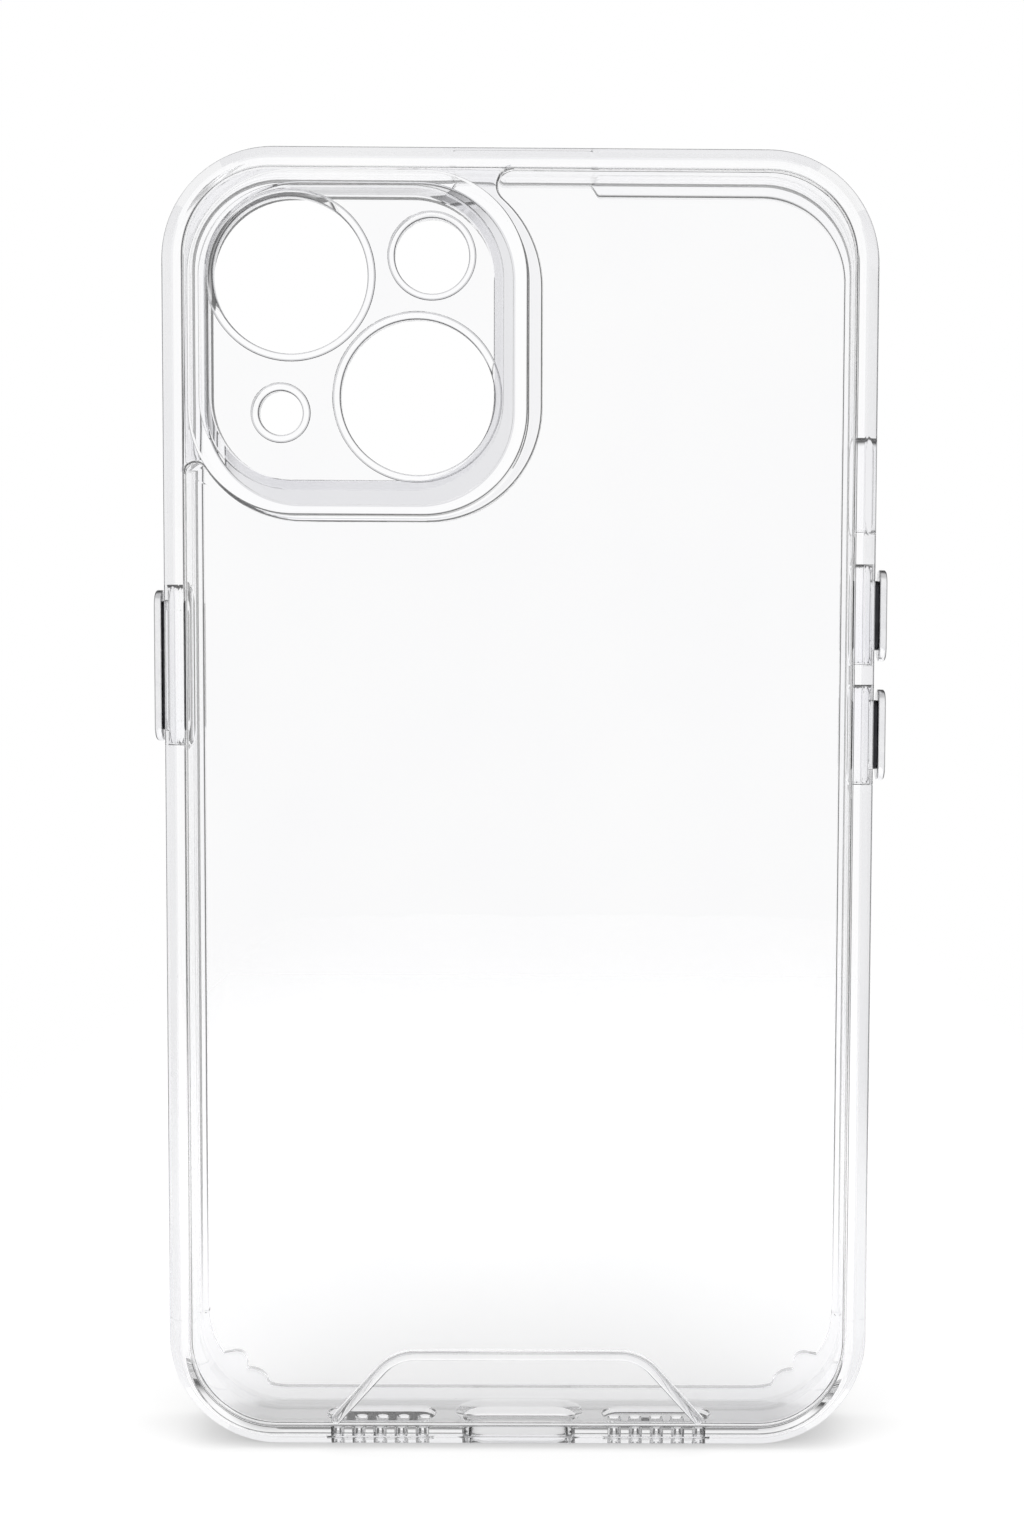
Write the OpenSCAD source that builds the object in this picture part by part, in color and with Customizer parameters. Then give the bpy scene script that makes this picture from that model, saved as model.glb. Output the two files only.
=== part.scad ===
// Clear hybrid phone case: hard back panel, soft bumper frame, raised camera
// surround with a four-opening lens plate, and three floating side keys.
// Millimetres. The case stands on its bottom edge with +Z along its length,
// the outside of the back facing -Y and the phone's screen side facing +Y.

/* [Phone] */
// Width of the phone that the case holds
phone_w = 71.8; // [68:0.1:78]
// Length of the phone
phone_h = 135.8; // [130:0.1:165]
// Thickness of the phone's body
phone_t = 7.8; // [7.4:0.1:9]
// Corner radius of the phone
phone_r = 9.7; // [9:0.1:12]

/* [Shell] */
// Gap between the phone and the case, all round
fit_gap = 0.1; // [0.05:0.05:0.2]
// Thickness of the soft side walls
wall = 2.2; // [2.1:0.1:2.6]
// Thickness of the hard back panel
panel_t = 1.2; // [1.1:0.1:1.6]
// Width of the frame's bead round the panel, seen from the back
bead_w = 2.6; // [2.5:0.1:3]
// How far the frame's bead stands proud of the panel
bead_rise = 0.3; // [0.2:0.1:0.5]
// Thickness of the lip over the phone's screen side
lip_t = 1.3; // [1:0.1:1.8]
// How far the lip reaches over the phone at its long sides
lip_side = 0.6; // [0.4:0.1:1]
// How far the lip reaches over the phone at its two ends
lip_end = 1.2; // [0.8:0.1:1.5]
// Rounding of the frame's outer edge on the back
round_back = 1.6; // [1:0.1:2]
// Rounding of the frame's outer edge on the screen side
round_front = 0.6; // [0.4:0.1:2]
// Width of the earpiece notch in the top lip
notch_w = 16.6; // [12:0.1:20]

/* [Camera] */
// Width and height of the surround's foot
foot_w = 37.6; // [37:0.1:38]
foot_h = 36.9; // [36.5:0.1:37.4]
// How far the rim stands out from the back panel
rim_rise = 2.6; // [2.3:0.1:3]
// How far the lens plate's face stands out from the back panel
plate_rise = 1.6; // [1.4:0.1:1.7]
// Thickness of the lens plate
plate_t = 1.2; // [1:0.1:1.3]
// Radius of the two large lens openings
lens_r = 8.1; // [7.8:0.05:8.2]
// Radius of the flash opening
flash_r = 3.9; // [3:0.05:4.2]
// Radius of the microphone opening
mic_r = 2.3; // [1.8:0.05:2.6]

/* [Keys] */
// Length of the power key
power_l = 16.5; // [12:0.5:18]
// Length of each volume key
volume_l = 10; // [8:0.5:10.5]
// Width of the keys across the side wall
key_w = 3.2; // [2.8:0.1:3.6]
// Thickness of a key's outer plate
key_plate_t = 0.8; // [0.6:0.05:1.1]
// Gap under the plate that lets a key travel inwards
key_gap = 0.9; // [0.7:0.1:1.3]

/* [Bottom] */
// Length and width of the charging port's slot
port_l = 12.6; // [11:0.1:14]
port_w = 5.4; // [4.5:0.1:6]
// Width of the rest rib's line on the back
rib_w = 1.15; // [0.9:0.05:1.5]
// How far the rest rib stands out from the back panel
rib_rise = 0.8; // [0.5:0.1:1.2]

/* [Hidden] */
$fn = 96;
eps = 0.01;

// Depths run from the outside of the back panel (0) towards the screen side.
cavity_t = phone_t + 2 * fit_gap;
lip_depth = panel_t + cavity_t;
case_t = lip_depth + lip_t;
case_w = phone_w + 2 * (fit_gap + wall);
case_h = phone_h + 2 * (fit_gap + wall);
case_r = phone_r + fit_gap + wall;
// The box of the whole case is centred on Y = 0.
back_y = (rim_rise - case_t) / 2;

// The panel's tongue runs this far under the frame's bead, between these depths.
tongue = 1.2;
tongue_depth = 0.5;
tongue_end = panel_t - 0.2;
// How far inwards the swept edge profile reaches.
edge_reach = 6;

// Camera island, measured from the middle of the case and from its top.
foot_at = [-16.45, case_h - 21.2];
foot_r = 12.2;
foot_rise = 0.4;
rim_at = foot_at + [-0.45, 0];
rim_size = [foot_w - 2, foot_h - 1.1];
rim_r = 11;
mouth_at = foot_at + [-0.2, -0.25];
mouth_size = [rim_size[0] - 3.6, rim_size[1] - 2.7];
mouth_r = 9.8;
window_at = foot_at + [-1.15, 0.6];
window_size = [foot_w - 7.8, foot_h - 7.3];
window_r = 8.6;
// The plate's edge sits this far inside the surround's groove.
plate_edge = 1.1;
// Round ends of the panel's channels between the foot and the frame, and their centres.
left_end_r = 1.25;
top_end_r = 1.8;
foot_low = foot_at + [foot_r - foot_w / 2, foot_r - foot_h / 2];
foot_high = foot_at + [foot_w / 2 - foot_r, foot_h / 2 - foot_r];
left_end_x = bead_w + left_end_r - case_w / 2;
left_end = [left_end_x, foot_low[1] - sqrt(pow(foot_r + left_end_r, 2) - pow(foot_low[0] - left_end_x, 2))];
top_end_z = case_h - bead_w - top_end_r;
top_end = [foot_high[0] + sqrt(pow(foot_r + top_end_r, 2) - pow(top_end_z - foot_high[1], 2)), top_end_z];

// Lens openings: centre, hole radius and width of the bezel's bevel.
upper_lens = [foot_at + [-7.6, 7.1], lens_r, 0.85];
lower_lens = [foot_at + [5.75, -5.5], lens_r, 0.85];
flash = [foot_at + [7.25, 9.2], flash_r, 0.75];
microphone = [foot_at + [-8.65, -7.2], mic_r, 0.85];
bezel_rim = 0.2;
bezel_drop = 0.15;

// Keys: +1 is the volume side and -1 the power side.
key_depth = panel_t + fit_gap + phone_t / 2 + 0.45;
power_z = case_h - 55.05;
volume_up_z = case_h - 49.2;
volume_down_z = case_h - 62.25;
pocket_t = 0.5;
foot_pocket_t = 0.9;
web_in = case_w / 2 - wall + foot_pocket_t;
key_under = case_w / 2 + key_gap;
neck_trim = 2.4;
slot_clear = 0.1;
neck_l = key_gap + 0.35;
tenon_trim = 4.4;
tenon_reach = 0.35;
tenon_w = 1.2;
key_foot_t = 0.8;
key_foot_grow = 0.8;

// Ringer switch opening.
ringer_z = case_h - 35.65;
ringer_l = 10.4;
ringer_w = 4.6;

// Slots in the bottom wall.
port_depth = key_depth;
speaker_x = 15.3;
speaker_depth = 4.9;
speaker_pitch = 2.34;
speaker_count = 5;
speaker_hole = [1.5, 2.8];
speaker_pill = [12, 3.9];

// Rest rib: half width at its feet, and the height and slope of its legs.
rib_foot_x = 19.7;
rib_foot_z = 3.4;
rib_top_z = 10.5;
rib_slope = 48;
rib_bend = 5;

// Colours.
clear_hard = [0.95, 0.96, 0.97, 0.35];
clear_soft = [0.9, 0.91, 0.92, 0.45];
clear_bevel = [0.85, 0.86, 0.9, 0.6];
plated = [0.75, 0.76, 0.78];

// ---------------------------------------------------------------- outlines

// Rounded rectangle, centred on a point.
module rounded(size, r, at = [0, 0]) {
    translate(at) {
        square([size[0] - 2 * r, size[1]], center = true);
        square([size[0], size[1] - 2 * r], center = true);
        for (x = [-1, 1], y = [-1, 1])
            translate([x * (size[0] / 2 - r), y * (size[1] / 2 - r)]) circle(r);
    }
}

// The case's outline, moved inwards all round.
module case_outline(inset = 0) {
    rounded([case_w - 2 * inset, case_h - 2 * inset], case_r - inset, [0, case_h / 2]);
}

// A slot with round ends, along the first axis.
module stadium(l, w) {
    square([l - w, w], center = true);
    for (x = [-1, 1]) translate([x * (l - w) / 2, 0]) circle(w / 2);
}

// A drawing in the X-Z plane, made solid between two depths.
module layer(from, to) {
    translate([0, back_y + to, 0]) rotate([90, 0, 0]) linear_extrude(height = to - from) children();
}

// ---------------------------------------------------------------- frame

// Cross-section of the frame's outer edge: x is the radius at a corner.
module edge_profile() {
    low = -case_t;
    high = bead_rise;
    inner = case_r - edge_reach;
    translate([inner, low + round_front])
        square([edge_reach, high - low - round_back - round_front]);
    translate([inner, high - round_back]) square([edge_reach - round_back, round_back]);
    translate([case_r - round_back, high - round_back]) circle(round_back);
    translate([inner, low]) square([edge_reach - round_front, round_front]);
    translate([case_r - round_front, low + round_front]) circle(round_front);
}

// The edge profile swept round the case: four sides and four corners.
module swept_edge() {
    for (k = [0:3]) {
        along = (k % 2 == 0 ? case_h : case_w) - 2 * case_r;
        across = (k % 2 == 0 ? case_w : case_h) / 2 - case_r;
        translate([0, back_y, case_h / 2]) rotate([90, 0, 0]) rotate([0, 0, 90 * k])
            translate([across, along / 2, 0]) {
                rotate([90, 0, 0]) linear_extrude(height = along) edge_profile();
                rotate_extrude(angle = 90) edge_profile();
            }
    }
}

// Opening in the lip, with the earpiece notch at the top.
module lip_opening() {
    w = case_w - 2 * (wall + lip_side);
    h = case_h - 2 * (wall + lip_end);
    rounded([w, h], case_r - wall - lip_side, [0, case_h / 2]);
    rounded([notch_w, 8], 1, [0, case_h - wall - 4]);
}

// Small ear on the lip at a bottom corner, which keeps the phone's corner down.
// Each lobe is its angle below the side, its distance from the corner's centre and its radius.
module corner_ear(side) {
    lip_r = case_r - wall - lip_side;
    for (lobe = [[46, lip_r - 0.2, 1.5], [64, lip_r + 0.55, 1.6]])
        translate([side * (case_w / 2 - case_r), wall + lip_end + lip_r])
            translate(lobe[1] * [side * cos(lobe[0]), -sin(lobe[0])]) circle(lobe[2]);
}

// A stadium-shaped prism through a side wall, between two distances from the middle.
module side_slot(side, z, l, w, from, to) {
    translate([side * (from + to) / 2, back_y + key_depth, z]) rotate([0, 90, 0])
        linear_extrude(height = to - from, center = true) stadium(l, w);
}

// Slot, outer recess and inner pocket for one key.
module key_cut(side, z, l) {
    side_slot(side, z, l - neck_trim + 2 * slot_clear, key_w - 1 + 2 * slot_clear, 30, 45);
    side_slot(side, z, l + key_foot_grow + 0.3, key_w + key_foot_grow + 0.3, 30, web_in);
}

// A prism through the bottom wall, between two heights.
module floor_slot(x, depth, l, w, from, to) {
    translate([x, back_y + depth, from]) linear_extrude(height = to - from) stadium(l, w);
}

module port_cut() {
    floor_slot(0, port_depth, port_l, port_w, -1, wall + 1);
    floor_slot(0, port_depth, port_l + 1.7, port_w + 1.9, wall - 0.6, wall + 0.5);
    floor_slot(0, port_depth, port_l + 1, port_w + 1, -1, 0.5);
}

module speaker_cut(side) {
    floor_slot(side * speaker_x, speaker_depth, speaker_pill[0], speaker_pill[1], wall - 0.7, wall + 0.5);
    for (i = [0:speaker_count - 1]) {
        x = side * speaker_x + (i - (speaker_count - 1) / 2) * speaker_pitch;
        translate([x, back_y + speaker_depth, -1]) linear_extrude(height = wall + 1)
            rotate(90) stadium(speaker_hole[1], speaker_hole[0]);
    }
}

module bumper_frame() {
    color(clear_soft) {
        difference() {
            swept_edge();
            layer(tongue_end - eps, lip_depth) case_outline(wall);
            layer(lip_depth - eps, case_t + 1) lip_opening();
            layer(-1, tongue_depth) case_outline(bead_w);
            layer(tongue_depth - eps, tongue_end) case_outline(bead_w - tongue);
            key_cut(-1, power_z, power_l);
            side_slot(-1, power_z, power_l + 1.4, key_w + 1.2, case_w / 2 - pocket_t, 45);
            key_cut(1, volume_up_z, volume_l);
            key_cut(1, volume_down_z, volume_l);
            side_slot(1, (volume_up_z + volume_down_z) / 2, 26.6, key_w + 1.2, case_w / 2 - pocket_t, 45);
            side_slot(1, ringer_z, ringer_l, ringer_w, 30, 45);
            port_cut();
            for (side = [-1, 1]) speaker_cut(side);
        }
        for (side = [-1, 1])
            intersection() {
                layer(lip_depth, case_t - 0.2) corner_ear(side);
                layer(lip_depth - 1, case_t) case_outline(wall);
            }
    }
}

// ---------------------------------------------------------------- back

// Part of the back that belongs to the camera surround: its foot, and a gusset at each
// end that joins it to the frame. A round end touches both the foot and the frame's bead.
module island_plan(inset) {
    far = case_h;
    intersection() {
        case_outline(inset);
        union() {
            rounded([foot_w, foot_h], foot_r, foot_at);
            difference() {
                polygon([[-far, left_end[1]], left_end, foot_low, [foot_low[0], far], [-far, far]]);
                translate(left_end) circle(left_end_r);
            }
            difference() {
                polygon([[-far, foot_high[1]], foot_high, top_end, [top_end[0], far], [-far, far]]);
                translate(top_end) circle(top_end_r);
            }
        }
    }
}

module back_panel() {
    color(clear_hard) difference() {
        union() {
            layer(0, tongue_depth) case_outline(bead_w);
            layer(tongue_depth, tongue_end) case_outline(bead_w - tongue);
            layer(tongue_end, panel_t) case_outline(wall);
        }
        layer(-1, tongue_depth) island_plan(bead_w);
        layer(tongue_depth - eps, panel_t + 1) island_plan(0);
    }
}

// ---------------------------------------------------------------- camera

module camera_surround() {
    color(clear_soft) difference() {
        union() {
            layer(-foot_rise, tongue_depth) island_plan(bead_w);
            layer(tongue_depth, tongue_end) island_plan(bead_w - tongue);
            layer(tongue_end, panel_t) island_plan(wall);
            layer(-rim_rise, 0) rounded(rim_size, rim_r, rim_at);
        }
        // sloping mouth, from the top of the rim down to the lens plate
        hull() {
            layer(-rim_rise - 0.1, -rim_rise) rounded(mouth_size, mouth_r, mouth_at, $fn = 32);
            layer(-plate_rise - eps, -plate_rise + eps) rounded(window_size, window_r, window_at, $fn = 32);
        }
        plate_seat();
        layer(-plate_rise, panel_t + 1) rounded(window_size, window_r, window_at);
    }
}

module plate_seat() {
    grow = 2 * plate_edge;
    layer(-plate_rise, -plate_rise + plate_t)
        rounded([window_size[0] + grow, window_size[1] + grow], window_r + plate_edge, window_at);
}

module lens_plate() {
    color(clear_hard) difference() {
        plate_seat();
        for (lens = [upper_lens, lower_lens, flash, microphone])
            translate([lens[0][0], back_y - plate_rise + plate_t + 1, lens[0][1]]) rotate([90, 0, 0])
                cylinder(r = lens[1] + lens[2], h = plate_t + 2);
    }
}

// A bevelled ring pressed into one opening of the lens plate.
module bezel(lens) {
    hole = lens[1];
    outer = hole + lens[2];
    color(clear_bevel) translate([lens[0][0], back_y - plate_rise, lens[0][1]]) rotate([90, 0, 0])
        rotate_extrude()
            polygon([
                [hole, -plate_t],
                [outer, -plate_t],
                [outer, 0],
                [outer - bezel_rim, 0],
                [hole, -bezel_drop]
            ]);
}

module upper_lens_bezel() { bezel(upper_lens); }

module lower_lens_bezel() { bezel(lower_lens); }

module flash_bezel() { bezel(flash); }

module microphone_bezel() { bezel(microphone); }

// ---------------------------------------------------------------- rest rib

// Half of the rib's line: foot, sloping leg, bend and flat top.
module rib_half() {
    corner_x = rib_foot_x - (rib_top_z - rib_foot_z) / tan(rib_slope);
    run = rib_bend * tan(rib_slope / 2);
    leg = (rib_top_z - rib_foot_z) / sin(rib_slope) - run;
    translate([0, rib_top_z - rib_w / 2]) square([corner_x - run, rib_w]);
    translate([rib_foot_x, rib_foot_z]) rotate(180 - rib_slope)
        translate([0, -rib_w / 2]) square([leg, rib_w]);
    intersection() {
        translate([corner_x - run, rib_top_z - rib_bend]) difference() {
            circle(rib_bend + rib_w / 2);
            circle(rib_bend - rib_w / 2);
        }
        translate([corner_x - run, rib_top_z - rib_bend])
            polygon([[0, 0], [0, 9], [9 * tan(rib_slope / 2), 9], [9 * sin(rib_slope), 9 * cos(rib_slope)]]);
    }
    translate([rib_foot_x, rib_foot_z]) circle(rib_w / 2);
}

module bottom_rib() {
    color(clear_soft) layer(-rib_rise, 0) {
        rib_half();
        mirror([1, 0]) rib_half();
    }
}

// ---------------------------------------------------------------- keys

// Plated outer plate with a hollow neck that passes through the wall's slot.
module key_cap(side, z, l) {
    color(plated) difference() {
        union() {
            side_slot(side, z, l, key_w, key_under, key_under + key_plate_t);
            side_slot(side, z, l - neck_trim, key_w - 1, key_under - neck_l, key_under + eps);
        }
        side_slot(side, z, l - tenon_trim, tenon_w, key_under - 2, key_under + tenon_reach);
    }
}

// Clear carrier: a foot that bears on the phone's own button, and a tenon glued in the cap.
module key_carrier(side, z, l) {
    foot_in = web_in - 0.05 - key_foot_t;
    color(clear_soft) {
        side_slot(side, z, l + key_foot_grow, key_w + key_foot_grow, foot_in, web_in - 0.05);
        side_slot(side, z, l - tenon_trim, tenon_w, web_in - 0.1, key_under + tenon_reach);
    }
}

module power_key_cap() { key_cap(-1, power_z, power_l); }

module power_key_carrier() { key_carrier(-1, power_z, power_l); }

module volume_up_key_cap() { key_cap(1, volume_up_z, volume_l); }

module volume_up_key_carrier() { key_carrier(1, volume_up_z, volume_l); }

module volume_down_key_cap() { key_cap(1, volume_down_z, volume_l); }

module volume_down_key_carrier() { key_carrier(1, volume_down_z, volume_l); }

back_panel();
bumper_frame();
camera_surround();
lens_plate();
upper_lens_bezel();
lower_lens_bezel();
flash_bezel();
microphone_bezel();
bottom_rib();
power_key_cap();
power_key_carrier();
volume_up_key_cap();
volume_up_key_carrier();
volume_down_key_cap();
volume_down_key_carrier();
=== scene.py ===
import math
import bmesh
import bpy
from mathutils import Matrix, Vector


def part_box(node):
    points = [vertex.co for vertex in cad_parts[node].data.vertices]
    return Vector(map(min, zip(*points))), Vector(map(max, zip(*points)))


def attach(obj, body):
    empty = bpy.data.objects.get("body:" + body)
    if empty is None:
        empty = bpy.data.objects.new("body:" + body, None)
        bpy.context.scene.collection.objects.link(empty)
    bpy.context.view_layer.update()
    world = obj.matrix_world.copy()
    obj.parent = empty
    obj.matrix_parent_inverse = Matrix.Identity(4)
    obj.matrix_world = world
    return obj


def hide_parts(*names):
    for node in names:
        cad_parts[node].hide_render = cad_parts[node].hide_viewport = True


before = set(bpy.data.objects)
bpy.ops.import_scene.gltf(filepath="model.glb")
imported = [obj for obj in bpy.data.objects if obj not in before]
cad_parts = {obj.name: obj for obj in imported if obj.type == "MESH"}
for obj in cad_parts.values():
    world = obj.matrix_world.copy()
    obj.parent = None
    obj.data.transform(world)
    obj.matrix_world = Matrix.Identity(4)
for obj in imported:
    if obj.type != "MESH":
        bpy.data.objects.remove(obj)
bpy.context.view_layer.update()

MM = 0.001

# Lengths are in millimetres and angles in degrees. A depth runs from the outside of the back
# panel, which is 0, towards the screen side. Proud means out from the panel, towards the camera.

# ---- camera
AIM = (-0.75, -3.95, 74.65)
CAMERA_DISTANCE = 207
CAMERA_ELEVATION = 3.3
# How far the camera stands to the right of the aim. It looks straight ahead, and its shift brings
# the case back to the middle, as in a cropped photograph.
CAMERA_SIDE = 9
CAMERA_YAW = 0.4
CAMERA_ROLL = 0.3
LENS_MM = 45.25
SENSOR_MM = 36

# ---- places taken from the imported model
def box_mm(node):
    low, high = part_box(node)
    return [v / MM for v in low], [v / MM for v in high]


FRAME_LOW, FRAME_HIGH = box_mm("bumper_frame")
BACK_Y = box_mm("back_panel")[0][1]
HALF_W = FRAME_HIGH[0]
CASE_H = FRAME_HIGH[2]
BEAD_RISE = BACK_Y - FRAME_LOW[1]
CASE_T = FRAME_HIGH[1] - BACK_Y
PANEL_T = box_mm("back_panel")[1][1] - BACK_Y

# ---- shell
CASE_R = 12
WALL = 2.2
BEAD_W = 2.6
LIP_T = 1.3
LIP_SIDE = 0.6
LIP_END = 1.2
ROUND_BACK = 1.6
ROUND_FRONT = 0.6
NOTCH_HALF = 8.3
NOTCH_END = 1.0
# Share of the lip's reach that the notch takes away.
NOTCH_CUT = 0.93
LIP_DEPTH = CASE_T - LIP_T
# Air left between two clear pieces that touch, so that each keeps its own surface.
JOINT_GAP = 0.02
# Edge radii of the hard plates and of the soft surround.
HARD_EDGE_R = 0.08
SOFT_EDGE_R = 0.14
CORNER_STEPS = 28
FILLET_STEP = 11


# ---------------------------------------------------------------- drawing helpers

def filleted(corners, closed=True, step=FILLET_STEP):
    """Points along a polygon whose corners are (u, v, radius)."""
    points = []
    count = len(corners)
    for i, (u, v, radius) in enumerate(corners):
        here = Vector((u, v))
        if radius <= 0 or (not closed and i in (0, count - 1)):
            points.append(here)
            continue
        before = (Vector(corners[i - 1][:2]) - here).normalized()
        after = (Vector(corners[(i + 1) % count][:2]) - here).normalized()
        half = before.angle(after) / 2
        trim = radius / math.tan(half)
        centre = here + (before + after).normalized() * radius / math.sin(half)
        start = here + before * trim - centre
        turn = math.pi - 2 * half
        sign = 1 if before.x * after.y - before.y * after.x < 0 else -1
        steps = max(2, round(math.degrees(turn) / step))
        for k in range(steps + 1):
            a = sign * turn * k / steps
            points.append(centre + Vector((start.x * math.cos(a) - start.y * math.sin(a),
                                           start.x * math.sin(a) + start.y * math.cos(a))))
    return points


def rounded_loop(centre, size, radius, steps=CORNER_STEPS):
    """A rounded rectangle in X and Z, from the right side round over the top."""
    points = []
    for k, (sx, sz) in enumerate(((1, 1), (-1, 1), (-1, -1), (1, -1))):
        cx = centre[0] + sx * (size[0] / 2 - radius)
        cz = centre[1] + sz * (size[1] / 2 - radius)
        for i in range(steps + 1):
            a = math.radians(90 * (k + i / steps))
            points.append((cx + radius * math.cos(a), cz + radius * math.sin(a)))
    return points


def circle_loop(centre, radius, steps):
    return [(centre[0] + radius * math.cos(2 * math.pi * i / steps),
             centre[1] + radius * math.sin(2 * math.pi * i / steps)) for i in range(steps)]


def stadium_loop(length, width, steps=12):
    """A slot with round ends, along the second axis."""
    points = []
    r = width / 2
    for end in (1, -1):
        for i in range(steps + 1):
            a = math.radians(180 * i / steps)
            points.append((end * r * math.cos(a), end * (length / 2 - r + r * math.sin(a))))
    return points


def at_depth(loop, depth):
    """A drawing in X and Z, put at a depth."""
    return [(x, BACK_Y + depth, z) for x, z in loop]


def inset_loop(loop, distance):
    """A closed loop, counter-clockwise, moved inwards along its own normals."""
    moved = []
    count = len(loop)
    for i, (x, z) in enumerate(loop):
        ax, az = loop[i - 1]
        bx, bz = loop[(i + 1) % count]
        first = Vector((z - az, ax - x))
        second = Vector((bz - z, x - bx))
        if first.length < 1e-6:
            first = second
        if second.length < 1e-6:
            second = first
        normal = first.normalized() + second.normalized()
        reach = max(0.5, normal.length / 2)
        normal.normalize()
        moved.append((x - normal.x * distance / reach, z - normal.y * distance / reach))
    return moved


# ---------------------------------------------------------------- mesh helpers

class Skin:
    """A closed mesh put together from loops of points in millimetres."""

    def __init__(self):
        self.bm = bmesh.new()

    def loop(self, points):
        return [self.bm.verts.new((x * MM, y * MM, z * MM)) for x, y, z in points]

    def bridge(self, a, b):
        count = len(a)
        for i in range(count):
            self.bm.faces.new((a[i], a[(i + 1) % count], b[(i + 1) % count], b[i]))

    def stack(self, loops):
        made = [self.loop(points) for points in loops]
        for a, b in zip(made, made[1:]):
            self.bridge(a, b)
        return made

    def cap(self, loop):
        self.bm.faces.new(loop)

    def fill(self, loops):
        """Flat face between an outer loop and the loops of its holes."""
        edges = []
        for loop in loops:
            for i, vert in enumerate(loop):
                after = loop[(i + 1) % len(loop)]
                edges.append(self.bm.edges.get((vert, after)) or self.bm.edges.new((vert, after)))
        bmesh.ops.triangle_fill(self.bm, use_beauty=True, use_dissolve=False, edges=edges)

    def finish(self, name):
        bmesh.ops.remove_doubles(self.bm, verts=self.bm.verts, dist=1e-7)
        bmesh.ops.recalc_face_normals(self.bm, faces=self.bm.faces)
        mesh = bpy.data.meshes.new(name)
        self.bm.to_mesh(mesh)
        self.bm.free()
        made = bpy.data.objects.new(name, mesh)
        bpy.context.scene.collection.objects.link(made)
        return made


def apply_modifiers(obj):
    """Leaves the object with the mesh that its modifiers make."""
    graph = bpy.context.evaluated_depsgraph_get()
    made = bpy.data.meshes.new_from_object(obj.evaluated_get(graph))
    obj.modifiers.clear()
    obj.data = made


def cut(obj, tools):
    for tool in tools:
        modifier = obj.modifiers.new("cut", "BOOLEAN")
        modifier.operation = "DIFFERENCE"
        modifier.solver = "EXACT"
        modifier.object = tool
        apply_modifiers(obj)
        bpy.data.objects.remove(tool)


def smooth(obj, angle=32):
    """Smooth shading on rounded edges, with flat faces kept flat."""
    mesh = obj.data
    bm = bmesh.new()
    bm.from_mesh(mesh)
    for face in bm.faces:
        face.smooth = True
    for edge in bm.edges:
        edge.smooth = not edge.is_manifold or edge.calc_face_angle(0) < math.radians(angle)
    bm.to_mesh(mesh)
    bm.free()
    modifier = obj.modifiers.new("normals", "WEIGHTED_NORMAL")
    modifier.mode = "FACE_AREA"
    modifier.weight = 50
    modifier.keep_sharp = True


def shade_faces(obj, material, chosen):
    """Gives another material to the faces that chosen(depth, tilt, x, z) picks, where tilt is
    the angle in degrees between a face and the panel."""
    obj.data.materials.append(material)
    index = len(obj.data.materials) - 1
    for face in obj.data.polygons:
        x, y, z = face.center / MM
        tilt = math.degrees(math.acos(max(-1, min(1, -face.normal.y))))
        if chosen(y - BACK_Y, tilt, x, z):
            face.material_index = index


def place(obj, material, nodes, body="case"):
    obj.data.materials.clear()
    obj.data.materials.append(material)
    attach(obj, body)
    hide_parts(*nodes)


# ---------------------------------------------------------------- bumper frame

def outline_stations():
    """Places round the case, counter-clockwise: corner centres with the outward directions from
    them. A station is (x, z, normal x, normal z, notch, ear), where notch is the share of the lip
    that is cut away and ear is how far the lip reaches in."""
    core_x = HALF_W - CASE_R
    core_z = CASE_H / 2 - CASE_R
    mid_z = CASE_H / 2
    stations = []
    for k, (sx, sz) in enumerate(((1, 1), (-1, 1), (-1, -1), (1, -1))):
        steps = CORNER_STEPS if sz > 0 else 2 * CORNER_STEPS
        for i in range(steps + 1):
            turn = 90 * (k + i / steps)
            a = math.radians(turn)
            # angle from the long side towards the end
            rise = 90 * i / steps if sx * sz > 0 else 90 - 90 * i / steps
            ear = ear_height(rise) if sz < 0 else 0
            stations.append((sx * core_x, mid_z + sz * core_z, math.cos(a), math.sin(a), 0, ear))
        if k == 0:
            for x, amount in notch_steps():
                stations.append((x, mid_z + core_z, 0, 1, amount, 0))
    return stations


def notch_steps():
    """Places along the top lip at the earpiece notch, from right to left, and how far it is cut."""
    rising = [(NOTCH_HALF - NOTCH_END * t, t * t * (3 - 2 * t)) for t in (0, 0.2, 0.4, 0.6, 0.8, 1)]
    return rising + [(-x, amount) for x, amount in reversed(rising)]


# Two lobes on the lip at each bottom corner: middle and half width in degrees from the long
# side, and how far they reach in.
EARS = ((46, 9.5, 1.7), (64, 10, 1.05))


def ear_height(rise):
    height = 0
    for middle, half, reach in EARS:
        t = (rise - middle) / half
        if abs(t) < 1:
            height = max(height, reach * math.sqrt(1 - t * t))
    return height


def frame_profile():
    """Cross-section of the frame as (inset, depth)."""
    return filleted([
        (BEAD_W - JOINT_GAP, -BEAD_RISE, 0.18),
        (ROUND_BACK, -BEAD_RISE, 0.9),
        (0, -BEAD_RISE + ROUND_BACK, 0.9),
        (0, CASE_T, ROUND_FRONT),
        (WALL + LIP_SIDE, CASE_T, 0.3),
        (WALL + LIP_SIDE, LIP_DEPTH, 0.22),
        (WALL, LIP_DEPTH, 0.08),
        (WALL, PANEL_T, 0.12),
        (BEAD_W - JOINT_GAP, PANEL_T, 0.12),
    ])


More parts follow.
